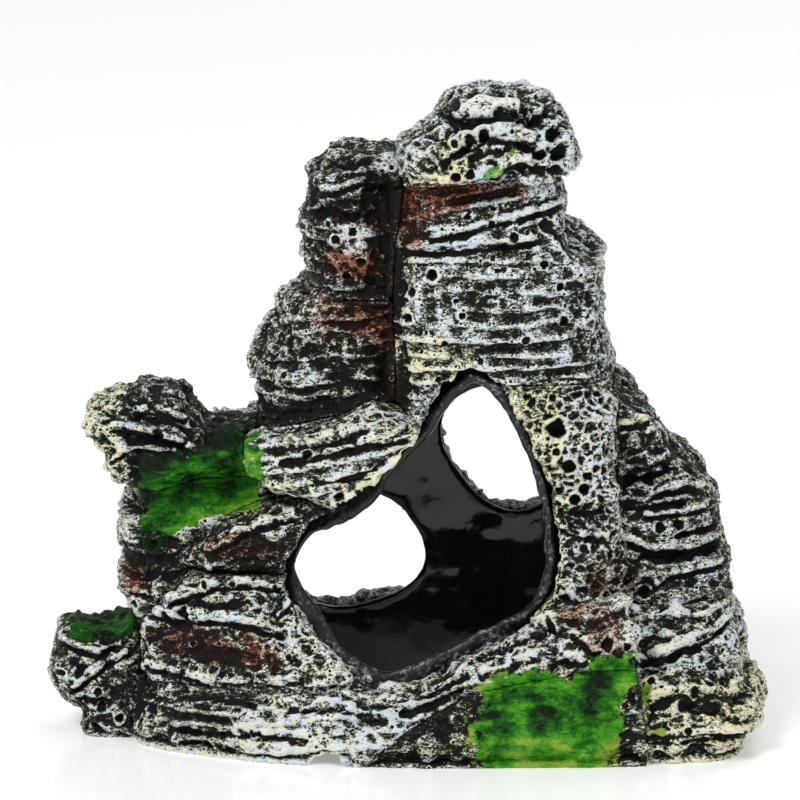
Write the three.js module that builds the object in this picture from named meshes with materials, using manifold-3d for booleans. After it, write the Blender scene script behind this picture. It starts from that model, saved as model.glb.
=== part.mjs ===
// Resin cave ornament for an aquarium: a two-peaked crag over a cave, with one wide mouth in front,
// two windows in the rear wall and an open underside. It is an assembly of resin castings, bonded
// where deep crevices part the rocks, round a smooth liner that makes the inside of the cave.
// X runs left to right seen from the front, Y front to back and Z up, in millimetres. The origin is
// on the floor, under the middle of the footprint.
import * as THREE from "three";
import { mergeVertices } from "three/addons/utils/BufferGeometryUtils.js";
import Module from "manifold-3d";

const wasm = await Module();
wasm.setup();

// Driving dimensions
const WIDTH = 109;
const DEPTH = 56;
const HEIGHT = 103;
const LEFT = -WIDTH / 2;
const RIGHT = WIDTH / 2;
const FRONT = -DEPTH / 2;
const BACK = DEPTH / 2;
const BOND_GAP = 0.3; // the crevice left between two castings
const LINER_WALL = 1.6; // thickness of the smooth cave liner
const LINER_FOOT = 2.4; // height of the liner's lower edge, so that only rock meets the floor
const COLLAR_FRONT = [20, -16.4, 0]; // the liner's collar reaches forward to here, right of the mouth
const COLLAR_SIDE = [0.17, 0.985, 0]; // and lies farther back towards the left
const WALL_MIDDLE = -8; // a plane inside the cave, behind the front wall
const FAR = 60; // beyond every side of the ornament
const SIDES = 20; // sides of a rock's cross-section
const CURVE_STEPS = 34; // points on the outline of the mouth or a window
const UNDER = -12; // the lower limit of a lying rock that is cut off flat at the floor

// ---- Solids ----------------------------------------------------------------------------------

// A closed three.js geometry as a solid that can be joined and cut.
function solidOf(geometry) {
  const bare = geometry.clone();
  bare.deleteAttribute("normal");
  bare.deleteAttribute("uv");
  const merged = mergeVertices(bare, 1e-4);
  return new wasm.Manifold(
    new wasm.Mesh({
      numProp: 3,
      vertProperties: merged.attributes.position.array,
      triVerts: new Uint32Array(merged.index.array),
    }),
  );
}

// A solid as a three.js geometry with flat faces.
function geometryOf(solid) {
  const mesh = solid.getMesh();
  const positions = new Float32Array(mesh.numVert * 3);
  for (let vertex = 0; vertex < mesh.numVert; vertex++) {
    const start = vertex * mesh.numProp;
    positions.set(mesh.vertProperties.subarray(start, start + 3), vertex * 3);
  }
  const indexed = new THREE.BufferGeometry()
    .setAttribute("position", new THREE.BufferAttribute(positions, 3))
    .setIndex(new THREE.BufferAttribute(new Uint32Array(mesh.triVerts), 1));
  const geometry = indexed.toNonIndexed();
  geometry.computeVertexNormals();
  return geometry;
}

// The largest body of a solid, so that a cut leaves no loose chip.
function largest(solid) {
  const bodies = solid.decompose();
  return bodies.reduce((kept, body) => (body.volume() > kept.volume() ? body : kept));
}

// A rock is a stack of strata. Each stratum is [height, low u, high u, low v, high v], the box of
// its rounded outline; "square" sharpens the outline from an ellipse, 2, towards a rectangle.
// The whole rock can be grown by a margin, which makes the socket that it cuts in a neighbour.
function stack(strata, square, grow) {
  const last = strata.length - 1;
  const geometry = new THREE.CylinderGeometry(1, 1, last, SIDES, last);
  geometry.rotateX(Math.PI / 2);
  const position = geometry.attributes.position;
  for (let i = 0; i < position.count; i++) {
    const level = Math.round(position.getZ(i) + last / 2);
    const [height, lowU, highU, lowV, highV] = strata[level];
    const u = roundedSquare(position.getX(i), square);
    const v = roundedSquare(position.getY(i), square);
    const ends = level === 0 ? -grow : level === last ? grow : 0;
    position.setXYZ(
      i,
      (lowU + highU) / 2 + u * ((highU - lowU) / 2 + grow),
      (lowV + highV) / 2 + v * ((highV - lowV) / 2 + grow),
      height + ends,
    );
  }
  return geometry;
}

// A coordinate of the unit circle, moved out to a superellipse.
function roundedSquare(value, square) {
  return Math.sign(value) * Math.abs(value) ** (2 / square);
}

// An upright rock: strata by height, each [z, left, right, front, back].
function upright(strata, square = 3.2) {
  return (grow) => solidOf(stack(strata, square, grow));
}

// A rock that lies along X: strata by x, each [x, low z, high z, front, back].
function lying(strata, square = 3.2) {
  const turn = new THREE.Matrix4().set(0, 0, 1, 0, 0, 1, 0, 0, -1, 0, 0, 0, 0, 0, 0, 1);
  const turned = strata.map(([x, low, high, front, back]) => [x, -high, -low, front, back]);
  return (grow) => solidOf(stack(turned, square, grow).applyMatrix4(turn));
}

// What of a solid lies beyond a plane through a point, on the side that the direction points to.
function beyond(solid, point, direction) {
  const half = new THREE.BoxGeometry(4 * FAR, 4 * FAR, 4 * FAR);
  half.translate(0, 0, 2 * FAR);
  const towards = new THREE.Vector3(...direction).normalize();
  const turn = new THREE.Quaternion().setFromUnitVectors(new THREE.Vector3(0, 0, 1), towards);
  half.applyQuaternion(turn);
  half.translate(...point);
  return solid.intersect(solidOf(half));
}

// A smooth closed outline in XZ, grown by a margin, pushed through from one Y to another.
function passage(points, from, to, grow) {
  const loop = points.map(([x, z]) => new THREE.Vector3(x, z, 0));
  const curve = new THREE.CatmullRomCurve3(loop, true, "centripetal");
  const outline = [];
  for (let i = 0; i < CURVE_STEPS; i++) {
    const at = curve.getPointAt(i / CURVE_STEPS);
    const along = curve.getTangentAt(i / CURVE_STEPS);
    outline.push(new THREE.Vector2(at.x + along.y * grow, at.y - along.x * grow));
  }
  const through = { depth: to - from, bevelEnabled: false, steps: 1 };
  const geometry = new THREE.ExtrudeGeometry(new THREE.Shape(outline), through);
  geometry.rotateX(Math.PI / 2);
  geometry.translate(0, to, 0);
  return solidOf(geometry);
}

// ---- The cave and its openings ---------------------------------------------------------------

// The hollow: wide and open at the floor, and narrowing to a ridge under the tall peak.
const cave = upright([
  [-4, -29.5, 31.6, -15.5, 15.5],
  [4, -29, 31.1, -15, 15.5],
  [11.9, -27.5, 30.1, -14, 15],
  [19.8, -25, 28.5, -13.5, 14.5],
  [27.7, -22.4, 27.5, -13, 14],
  [35.7, -17.8, 26.5, -12.5, 13.5],
  [43.6, -9.2, 25, -12, 12.5],
  [49.5, -1, 22.4, -11.5, 12],
  [54.5, 4.1, 18.3, -11, 10],
  [57, 7.1, 14.3, -9, 7],
], 3.6);

// The mouth is a leaning arch, its outline counterclockwise seen from the front.
const MOUTH_OUTLINE = [
  [-3.1, 12.1],
  [3.1, 14.3],
  [11.2, 18.8],
  [18.3, 22.4],
  [20.7, 26.7],
  [20.8, 34.7],
  [19.8, 41.1],
  [17.1, 48.5],
  [13.7, 55.1],
  [10.2, 57.7],
  [6.9, 54.7],
  [3.1, 48.5],
  [-3.1, 42.2],
  [-9.2, 37],
  [-14.9, 32.7],
  [-17.3, 28.3],
  [-14.7, 23.2],
  [-11.2, 18.2],
  [-8.1, 13.9],
];

// The high window, on the right of the rear wall.
const HIGH_WINDOW_OUTLINE = [
  [13.8, 31.7],
  [19.4, 31.5],
  [23.4, 35.7],
  [23.8, 42.6],
  [20.4, 48.5],
  [13.2, 51.9],
  [7.7, 49.3],
  [5.7, 43.6],
  [8.6, 36.6],
];

// The low window, on its left.
const LOW_WINDOW_OUTLINE = [
  [-12.2, 15.6],
  [-5.1, 16.4],
  [0, 19],
  [2.4, 23.4],
  [0.6, 28.9],
  [-4.6, 33.3],
  [-12.2, 34.3],
  [-18.8, 30.7],
  [-21, 24.4],
  [-18.3, 18.2],
];

const mouth = (grow) => passage(MOUTH_OUTLINE, -FAR, WALL_MIDDLE, grow);
const highWindow = passage(HIGH_WINDOW_OUTLINE, 2, FAR, 0);
const lowWindow = passage(LOW_WINDOW_OUTLINE, 2, FAR, 0);

// A shallow arched notch under the front edge lets air and water through when the ornament sinks.
const NOTCH = { middle: -12, halfWidth: 3.1, height: 1.9 };
const notchArch = new THREE.CylinderGeometry(1, 1, FAR, SIDES);
notchArch.scale(NOTCH.halfWidth, 1, NOTCH.height);
notchArch.translate(NOTCH.middle, WALL_MIDDLE - FAR / 2, 0);
const airNotch = solidOf(notchArch);

// ---- Castings of the tall peak ---------------------------------------------------------------

// The knob on top. Its underside is a bedding plane that rises to the right and overhangs the peak.
const CROWN_BED = { height: 87.6, rise: [-0.09, 0, 1] };
const crownKnob = upright([
  [83.6, -1, 23.9, -16, 8],
  [87.9, -1.2, 25, -17, 8.5],
  [91.4, -2, 26.8, -18, 9],
  [93.5, -2, 26.3, -17.5, 9],
  [95.1, 0.8, 25.3, -17, 8.5],
  [97, 3.7, 24.7, -16.5, 8],
  [98.9, 4.5, 23.6, -15.5, 7],
  [100.8, 6.3, 22, -13.5, 5],
  [102.2, 8.6, 18.9, -11.5, 2.5],
  [HEIGHT, 10.6, 15.7, -9.5, 0],
], 2.8);
const crown = (grow) =>
  beyond(crownKnob(grow), [0, 0, CROWN_BED.height - grow], CROWN_BED.rise);

// The body of the tall peak, which bridges the top of the cave.
const mainSpire = upright([
  [48.5, -3.6, 31.6, -15, 15.5],
  [57.4, -2.6, 31.6, -16, 15.5],
  [65.2, -2.6, 30.8, -16.6, 15],
  [75.4, -2.6, 30.2, -16.4, 14],
  [77.4, -2.6, 28.2, -16, 13],
  [79.8, -2.2, 24, -15.6, 12],
  [86, -1, 23.6, -14.8, 9.5],
  [91.5, 1, 21.4, -13, 7.5],
], 4);

// ---- Castings of the low peak and the left arm -----------------------------------------------

const leftSpire = upright([
  [69.6, -15, 1, -11, 8],
  [73.2, -15.4, 1, -11.5, 8],
  [76.8, -16.3, 1, -12, 8],
  [80.6, -16.6, 1, -12.5, 8],
  [84.2, -15.9, 1, -12.5, 7.5],
  [88, -15.2, 1, -12, 7],
  [90.4, -13.8, 0, -11, 5.5],
  [92, -12, -3.1, -8.5, 3],
]);

const leftFlank = upright([
  [44.6, -23.8, 1, -10, 14],
  [48.5, -23.6, 1, -12, 14],
  [53.5, -23.2, 1, -12.5, 14],
  [57.2, -24, 1, -12.5, 13],
  [59.8, -24.4, 1, -12.5, 12.5],
  [62.8, -22.8, 1, -12, 12],
  [66.6, -20.2, 1, -11.5, 10.5],
  [69, -19.2, 1, -11.5, 10],
  [71.6, -16.6, 0, -11, 9],
], 3.6);

// A short broken limb of rock that reaches out to the left.
const leftArm = lying([
  [-49.6, 48, 51.5, -8, 2],
  [-48.4, 43.6, 52.6, -11, 5],
  [-46.2, 40.6, 53.6, -12, 7],
  [-43.2, 38.8, 55, -13, 8],
  [-39, 38.8, 55.2, -13, 9],
  [-35.2, 39.8, 54.6, -13, 9],
  [-33.2, 40.6, 51.4, -12.5, 9],
  [-29.6, 41, 48.6, -12, 9],
  [-21.4, 41.2, 49, -11, 10],
], 3);

// The left side wall. Its upper front is the hollow that holds the green moss.
const leftWall = upright([
  [0, -41.3, -14.3, -11, 12],
  [9.9, -41.3, -14.3, -11.5, 13],
  [17.8, -41.8, -15.3, -12, 14],
  [20.8, -44.4, -15.3, -12.5, 14],
  [23.4, -46, -15.3, -12.5, 14],
  [25.6, -45.8, -15.3, -11.5, 14],
  [28, -44.2, -15.3, -10.5, 14],
  [30.6, -45.6, -15.3, -9.5, 13.5],
  [33, -45.8, -15.3, -9, 13.5],
  [35.6, -45, -15.3, -8.5, 13],
  [37.8, -43.6, -15.3, -8, 12.5],
  [41.6, -41, -15.3, -7.5, 12],
  [47, -35, -15.3, -6.5, 11],
], 3.4);

// A boulder that stands against the left end.
const leftBoulder = upright([
  [0, -51.1, -40.2, -9, 6],
  [3.5, -51.1, -40.2, -10, 7],
  [5.9, -53, -40.2, -10.6, 8],
  [9.4, -54.3, -40.2, -10.6, 9],
  [12.4, LEFT, -40.5, -10, 9],
  [15.4, -54, -41.2, -9, 8.5],
  [17.4, -52, -42.4, -6.5, 6.5],
], 3.4);

// ---- Castings round the mouth ----------------------------------------------------------------

// A slab that slants up over the mouth from the left and stands proud of the rock above it.
const archSlab = lying([
  [-25.1, 43, 47.9, -15, -4],
  [-22.4, 40.6, 49.1, -17.6, -4],
  [-16.3, 39.8, 50.3, -18.6, -4],
  [-10.2, 36.3, 51.8, -19, -4],
  [-5.6, 35.7, 54.1, -19, -4],
  [-1.5, 37.6, 53.1, -19, -4],
  [2, 39.6, 50.3, -18.6, -4],
  [5.1, 42.6, 49.1, -17.6, -4],
]);

const leftJamb = lying([
  [-35.2, 28.1, 29.7, -12, -4],
  [-30.6, 27.7, 32.9, -15, -4],
  [-26.5, 27.5, 35.9, -16.6, -4],
  [-20.4, 27.3, 38.4, -17.2, -4],
  [-14.3, 27.3, 39, -17.2, -4],
  [-7.1, 27.7, 38.2, -16.6, -4],
]);

const rightPillar = upright([
  [20.8, 17.3, 34.6, -17.6, -5],
  [25.8, 17.3, 33.2, -18, -5],
  [39.6, 15.3, 32, -17.6, -4],
  [49.5, 12.2, 31.6, -17.2, -3],
  [54.5, 11.6, 31.6, -16.8, -2],
  [57.1, 13.7, 31, -16.4, -2],
], 4);

// The front castings end against the right base at a plane that leans a little to the left. Its
// direction points away from the base, and a margin moves it towards the base.
const BASE_SIDE = [-0.99, -0.06, -0.12];
const BASE_SIDE_FOOT = [35.2, 0, 0];
const besideBase = (margin) => BASE_SIDE_FOOT.map((at, axis) => at - BASE_SIDE[axis] * margin);

// The stepped block below the left jamb.
const stepRock = upright([
  [10.7, -40.7, -3.1, -23.4, -8],
  [13.9, -42.4, -3.1, -22.6, -8],
  [17.8, -41.4, -3.1, -21, -7],
  [20.8, -39.7, -4.1, -20, -7],
  [23.8, -37.1, -5.1, -19, -6],
  [27.1, -33.6, -6.1, -18, -5.5],
], 3.6);
// Its front turns back towards the left end along a slanted face.
const STEP_SLANT = [0.5, 0.87, 0];
const STEP_CORNER = [-21.2, -24.2, 0];
const leftStep = (grow) => {
  const corner = STEP_CORNER.map((at, axis) => at - STEP_SLANT[axis] * grow);
  return beyond(stepRock(grow), corner, STEP_SLANT);
};

// The long ledge that sweeps under the mouth as its sill. It turns back at the left end and climbs
// to the right.
const sillRock = lying([
  [-42.6, UNDER, 6, -9.6, -6],
  [-41.8, UNDER, 10.2, -13, -6],
  [-38, UNDER, 12, -17, -6],
  [-30, UNDER, 12.8, -21.4, -6],
  [-21, UNDER, 12.6, -25, -6],
  [-11, UNDER, 12.2, -27.2, -6],
  [-3, UNDER, 13.2, -27.6, -6],
  [6, UNDER, 16, -27.4, -6],
  [15, UNDER, 19.6, -27, -6],
  [24, UNDER, 23.4, -26.8, -6],
  [44, UNDER, 27, -26.6, -6],
], 2.5);
const frontSill = (grow) => beyond(sillRock(grow), besideBase(grow), BASE_SIDE);

// The low block in front on the right, whose face holds the second patch of moss.
const apronRock = lying([
  [-11.2, UNDER, 0.8, -26.4, -14],
  [-4.1, UNDER, 4, -27.6, -14],
  [2, UNDER, 7.5, FRONT, -14],
  [9.2, UNDER, 11.3, FRONT, -14],
  [20.4, UNDER, 13.7, -27.8, -14],
  [27.5, UNDER, 15.3, -27.4, -14],
  [46.9, UNDER, 15.6, -27, -14],
], 5);
const frontApron = (grow) => beyond(apronRock(grow), besideBase(grow), BASE_SIDE);

// ---- Castings of the right side --------------------------------------------------------------

const rightShoulder = upright([
  [18.8, 22.4, 51.4, -14.5, 18],
  [22.4, 22.4, 50.6, -14.2, 18],
  [25.4, 22.4, 51, -13.8, 17.4],
  [28.7, 22.4, 49.4, -13.4, 17],
  [32.6, 22.4, 47.8, -12.6, 16],
  [36.6, 22.4, 48.4, -12.2, 15.5],
  [40.4, 22.4, 46.8, -11.6, 15],
  [43.6, 22.4, 44.2, -11, 14],
  [45.6, 22.4, 40.6, -10.4, 13.5],
  [49.8, 22.4, 38, -9.6, 13],
  [53, 22.4, 35.4, -9, 12],
  [55.4, 22.4, 32.6, -8, 11],
], 3.6);

const rightRock = upright([
  [0, 18.3, 52.4, -25, 20],
  [2.8, 18.3, 53.2, -26.2, 20],
  [5.6, 18.3, RIGHT, -26.2, 20],
  [8.2, 18.3, 54, -25, 19.6],
  [10.6, 18.3, 52, -23, 19.4],
  [14.4, 18.3, 52, -21, 19.2],
  [18.2, 18.3, 51.6, -19, 19],
  [20.2, 18.3, 51, -18, 18.8],
  [22.4, 18.3, 50, -16.5, 18.5],
], 4.4);
const rightBase = (grow) => {
  const away = BASE_SIDE.map((part) => -part);
  return beyond(rightRock(grow), besideBase(BOND_GAP - grow), away);
};

// ---- Castings of the rear wall ---------------------------------------------------------------

const rearLeft = upright([
  [0, -39.7, -8.1, 6, 24],
  [7.9, -40.1, -8.1, 6, 24.6],
  [15.8, -39.3, -10.2, 6, 23.6],
  [23.8, -38.7, -11.2, 6, 22.6],
  [31.7, -36.7, -12.2, 6, 20.6],
  [36.6, -33.6, -14.3, 5, 18.6],
], 3.4);

// The bridge of rock between the two windows.
const rearBridge = lying([
  [-30.6, 32.7, 48.5, 6, 15],
  [-22.4, 33.7, 49.5, 6, 17],
  [-10.2, 30.7, 51, 6, 18.6],
  [0, 22.8, 51, 6, 19.4],
  [8.1, 14.9, 45.6, 6, 20],
  [16.3, 13.9, 37.6, 6, 20.6],
  [26.5, 13.9, 33.7, 6, 20],
], 3.6);

const rearPier = upright([
  [23.8, 14.3, 36.7, 5, 19.4],
  [33.7, 14.3, 34.6, 5, 18.4],
  [43.6, 12.2, 32.6, 4, 17.2],
  [53.5, 6.1, 30.6, 3, 16.6],
  [57.4, 8.1, 29.5, 3, 16],
], 3.6);

const rearRight = upright([
  [0, 14.3, 44.8, 6, 25.4],
  [6.9, 14.3, 44.8, 6, 25.8],
  [14.9, 14.3, 43.8, 6, 24],
  [23.8, 14.3, 41.8, 6, 22],
  [29.7, 14.3, 39.7, 6, 20.4],
], 3.4);

const rearSill = upright([
  [0, -30.6, 36.7, 10, BACK - 0.6],
  [4, -30.6, 36.7, 10, BACK],
  [8.9, -28.5, 34.6, 10, 26],
  [12.9, -26.5, 32.6, 10, 23.6],
  [17.8, -24.4, 30.6, 10, 21.4],
], 3.4);

// ---- Assembly --------------------------------------------------------------------------------

const CHARCOAL = 0x35363a;
const LIMESTONE = 0x55564f;
const MOSS = 0x2d5a1d;
const RUST = 0x4a3129;
const BLACK_GLOSS = 0x0a0a0c;

// In this order, each casting keeps its own outline where it meets a later one.
const castings = [
  ["crown", crown, LIMESTONE],
  ["arch_slab", archSlab, LIMESTONE],
  ["right_pillar", rightPillar, CHARCOAL],
  ["main_spire", mainSpire, CHARCOAL],
  ["left_spire", leftSpire, CHARCOAL],
  ["left_flank", leftFlank, RUST],
  ["left_jamb", leftJamb, LIMESTONE],
  ["left_step", leftStep, RUST],
  ["left_arm", leftArm, CHARCOAL],
  ["left_wall", leftWall, MOSS],
  ["front_apron", frontApron, MOSS],
  ["right_base", rightBase, CHARCOAL],
  ["front_sill", frontSill, LIMESTONE],
  ["right_shoulder", rightShoulder, CHARCOAL],
  ["left_boulder", leftBoulder, CHARCOAL],
  ["rear_bridge", rearBridge, CHARCOAL],
  ["rear_left", rearLeft, CHARCOAL],
  ["rear_pier", rearPier, CHARCOAL],
  ["rear_right", rearRight, CHARCOAL],
  ["rear_sill", rearSill, CHARCOAL],
];

function named(name, solid, color, roughness) {
  const material = new THREE.MeshStandardMaterial({ color, roughness, metalness: 0 });
  const mesh = new THREE.Mesh(geometryOf(solid), material);
  mesh.name = name;
  return mesh;
}

// The liner: a thin shell round the hollow, with a collar that shows as a smooth lip at the mouth.
function caveLiner() {
  const collar = beyond(mouth(LINER_WALL), COLLAR_FRONT, COLLAR_SIDE);
  const shell = cave(LINER_WALL)
    .add(collar)
    .subtract(cave(0))
    .subtract(mouth(0))
    .subtract(highWindow)
    .subtract(lowWindow);
  return largest(beyond(shell, [0, 0, LINER_FOOT], [0, 0, 1]));
}

const ornament = new THREE.Group();
const clearance = LINER_WALL + BOND_GAP;
const openings = cave(clearance)
  .add(mouth(clearance))
  .add(highWindow)
  .add(lowWindow)
  .add(airNotch);
let taken = openings;
for (const [name, make, color] of castings) {
  const standing = beyond(make(0), [0, 0, 0], [0, 0, 1]);
  ornament.add(named(name, largest(standing.subtract(taken)), color, 0.7));
  taken = taken.add(make(BOND_GAP));
}
ornament.add(named("cave_liner", caveLiner(), BLACK_GLOSS, 0.15));

export default ornament;
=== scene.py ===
"""Resin cave ornament: a two-peaked crag of painted resin over a glossy black cave.

The script follows the ornament as it is put together: first the table it stands on, then the rocks
from the top of the tall peak down to the foot, then the rear wall, and last the cave's inner skin.
Rock shapes are worked out in millimetres and written to the meshes in metres.
"""

import math
import bmesh
import bpy
import numpy as np
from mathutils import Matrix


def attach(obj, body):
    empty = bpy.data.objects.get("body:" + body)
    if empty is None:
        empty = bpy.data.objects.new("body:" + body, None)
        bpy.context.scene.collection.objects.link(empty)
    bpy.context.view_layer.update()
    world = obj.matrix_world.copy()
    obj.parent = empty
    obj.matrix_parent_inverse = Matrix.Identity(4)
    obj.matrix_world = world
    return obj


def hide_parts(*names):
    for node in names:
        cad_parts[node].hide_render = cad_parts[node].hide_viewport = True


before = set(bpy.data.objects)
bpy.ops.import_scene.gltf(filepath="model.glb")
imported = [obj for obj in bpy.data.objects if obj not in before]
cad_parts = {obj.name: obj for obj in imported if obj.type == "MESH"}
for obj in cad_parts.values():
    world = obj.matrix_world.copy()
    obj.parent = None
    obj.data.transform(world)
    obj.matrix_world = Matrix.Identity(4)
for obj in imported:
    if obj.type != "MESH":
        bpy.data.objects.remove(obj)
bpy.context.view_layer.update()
MM = 0.001

# ---- Table, light and camera -------------------------------------------------
# The ornament stands on a pale, slightly glossy table under soft studio light, and is seen from in
# front and a little above, from far away.

VIEW_HEIGHT_ANGLE = math.radians(12)
VIEW_DISTANCE = 1200 * MM
LENS_LENGTH = 348.3
AIM = (-1.24 * MM, 0, 51.74 * MM)
STUDIO_STRENGTH = 0.52
TABLE_WHITE = (0.93, 0.93, 0.93, 1)
TABLE_GLOW = 0.26


def lamp(name, place, size, watts, aim=(0, 0, 40 * MM)):
    """A square soft light at a place, turned to face the point that it lights."""
    light = bpy.data.lights.new(name, "AREA")
    light.size = size
    light.energy = watts
    holder = bpy.data.objects.new(name, light)
    holder.location = place
    towards = np.subtract(place, aim)
    flat = math.hypot(towards[0], towards[1])
    holder.rotation_euler = (math.atan2(flat, towards[2]), 0, math.atan2(towards[0], -towards[1]))
    bpy.context.scene.collection.objects.link(holder)


lamp("key_light", (-0.5, -0.75, 1.0), 0.4, 8.6)
lamp("fill_light", (0.8, -0.7, 0.5), 0.6, 1.6)
lamp("rim_light", (0.3, 0.7, 0.9), 0.6, 2.4)

world = bpy.data.worlds.new("studio")
world.use_nodes = True
world.node_tree.nodes["Background"].inputs["Color"].default_value = (1, 1, 1, 1)
world.node_tree.nodes["Background"].inputs["Strength"].default_value = STUDIO_STRENGTH
bpy.context.scene.world = world
bpy.context.scene.view_settings.view_transform = "Standard"

lens = bpy.data.cameras.new("camera")
lens.sensor_width = 36
lens.lens = LENS_LENGTH
lens.clip_end = 20
camera = bpy.data.objects.new("camera", lens)
camera.location = (
    AIM[0],
    AIM[1] - VIEW_DISTANCE * math.cos(VIEW_HEIGHT_ANGLE),
    AIM[2] + VIEW_DISTANCE * math.sin(VIEW_HEIGHT_ANGLE),
)
camera.rotation_euler = (math.pi / 2 - VIEW_HEIGHT_ANGLE, 0, 0)
bpy.context.scene.collection.objects.link(camera)
bpy.context.scene.camera = camera

table_mesh = bpy.data.meshes.new("table")
table_mesh.from_pydata([(-6, -6, 0), (6, -6, 0), (6, 6, 0), (-6, 6, 0)], [], [(0, 1, 2, 3)])
table = bpy.data.objects.new("table", table_mesh)
bpy.context.scene.collection.objects.link(table)
table_paint = bpy.data.materials.new("pale_table")
table_paint.use_nodes = True
table_shader = table_paint.node_tree.nodes["Principled BSDF"]
table_shader.inputs["Base Color"].default_value = TABLE_WHITE
table_shader.inputs["Roughness"].default_value = 0.18
table_shader.inputs["Emission Color"].default_value = (1, 1, 1, 1)
table_shader.inputs["Emission Strength"].default_value = TABLE_GLOW
table_shader.inputs["IOR"].default_value = 1.35
table_mesh.materials.append(table_paint)

# ---- Crown -------------------------------------------------------------------
# The knob on the tall peak. It is cast resin: pale ledges with ring-shaped holes, a dark lobed
# recess under a pale cap, and a bedding plane beneath that overhangs the peak, where it is bonded.


def scatter(cell, seed):
    """A fixed number from 0 to 1 for each cell: its whole coordinates are multiplied by large odd
    numbers and mixed by shifts."""
    x, y, z = (cell[..., k].astype(np.uint32) for k in range(3))
    h = x * np.uint32(73856093) ^ y * np.uint32(19349663) ^ z * np.uint32(83492791)
    h = h ^ np.uint32(seed * 2654435761 % 2**32)
    h = (h ^ (h >> np.uint32(15))) * np.uint32(2246822519)
    h = (h ^ (h >> np.uint32(13))) * np.uint32(3266489917)
    return (h ^ (h >> np.uint32(16))).astype(np.float64) / 2**32


def step(value, start, stop):
    """0 before start and 1 after stop, with a smooth cubic rise between them."""
    t = np.clip((value - start) / (stop - start), 0, 1)
    return t * t * (3 - 2 * t)


def noise(p, size, seed):
    """Smooth noise from -1 to 1: fixed random numbers at the corners of cubes of the given size,
    blended across each cube with a quintic curve."""
    q = p / size + 100.5
    cell = np.floor(q).astype(np.int64)
    f = q - cell
    f = f * f * f * (f * (f * 6 - 15) + 10)
    total = np.zeros(len(p))
    for corner in np.ndindex(2, 2, 2):
        weight = np.prod(np.where(corner, f, 1 - f), axis=1)
        total += weight * scatter(cell + corner, seed)
    return 2 * total - 1


def crag(p):
    """The lumps that run on from rock to rock: four layers of noise, each finer and lower, set in
    a little so that the lumps end where the rock's own surface was."""
    coarse = 0.9 * noise(p, 9, 1) + 0.95 * noise(p, 4.3, 2)
    return coarse + 0.6 * noise(p, 2.1, 3) + 0.24 * noise(p, 1.0, 4) - 0.45


def crackle(p, size, seed, depth, stretch=1.5):
    """Ragged cells between sharp ridges. One point is scattered in each cube, drawn out along x;
    the height falls with the difference between the distances to the two nearest points, by a
    depth that is each cell's own."""
    bent = p + 0.22 * size * np.stack([noise(p, size, seed + 7 + k) for k in range(3)], 1)
    q = bent / (size * stretch, size, size) + 100.5
    home = np.floor(q).astype(np.int64)
    first = np.full(len(p), 9.0)
    second = np.full(len(p), 9.0)
    own = np.zeros(len(p))
    for offset in np.ndindex(3, 3, 3):
        cell = home + offset - 1
        place = cell + np.stack([scatter(cell, seed + k) for k in range(3)], 1)
        far = np.linalg.norm(q - place, axis=1)
        own = np.where(far < first, scatter(cell, seed + 3), own)
        second = np.minimum(second, np.maximum(first, far))
        first = np.minimum(first, far)
    return depth * (0.4 - (0.35 + own) * step(second - first, 0.02, 0.4))


def pits(p, size, seed, share, widest):
    """Blowholes: in a share of the cubes of the given size a round hole is sunk, as deep as its
    radius, with a thin raised rim. Its radius is up to widest. Two rows come back: the height, and
    the load of pale paint, which is dark inside and pale on the rim."""
    q = p / size + 100.5
    home = np.floor(q).astype(np.int64)
    height, paint = np.zeros((2, len(p)))
    for offset in np.ndindex(3, 3, 3):
        cell = home + offset - 1
        place = cell + 0.15 + 0.7 * np.stack([scatter(cell, seed + k) for k in range(3)], 1)
        radius = widest * (0.4 + 0.6 * scatter(cell, seed + 3)) * (scatter(cell, seed + 4) < share)
        far = np.linalg.norm(q - place, axis=1) * size / np.maximum(radius, 1e-6)
        height -= radius * np.sqrt(np.clip(1 - far**2, 0, 1))
        ring = np.exp(-(((far - 1.25) / 0.25) ** 2)) * (radius > 0)
        height += 0.16 * ring
        paint += 0.35 * ring - (1 - step(far, 0.7, 1.0)) * (radius > 0)
    return np.stack([height, paint])


def holes(p, n, places, rim=0.25):
    """Placed holes in the front face, one for each (x, z, radius): inside its radius the face sinks
    by the radius, and a raised rim stands just outside it. Two rows: height and pale paint."""
    facing = step(-n[:, 1], 0.1, 0.5)
    ragged = 1.25 + 0.3 * noise(p, 1.3, 7) + 0.15 * noise(p, 0.6, 8)
    height, paint = np.zeros((2, len(p)))
    for x, z, radius in places:
        far = np.hypot(p[:, 0] - x, p[:, 2] - z) / radius * ragged
        height -= 1.1 * radius * np.sqrt(np.clip(1 - far**2, 0, 1))
        ring = np.exp(-(((far - 1.25) / 0.22) ** 2))
        height += rim * ring
        paint += 1.6 * rim * ring - 1.2 * (1 - step(far, 0.75, 1.0))
    return np.stack([height, paint]) * facing


def trace(p, n, path, width):
    """1 along a path of (x, z) points on the front face, falling to 0 at the given distance from
    it, which wavers."""
    q = p[:, [0, 2]]
    far = np.full(len(p), 99.0)
    for start, stop in zip(path, path[1:]):
        way = np.subtract(stop, start)
        share = np.clip((q - start) @ way / (way @ way), 0, 1)
        far = np.minimum(far, np.linalg.norm(q - start - share[:, None] * way, axis=1))
    far = far / width + 0.5 * noise(p, 3.4, 9) + 0.35 * noise(p, 1.3, 10) + 0.2 * noise(p, 0.7, 11)
    return (1 - step(far, 0.25, 1.0)) * step(-n[:, 1], 0.0, 0.35)


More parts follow.
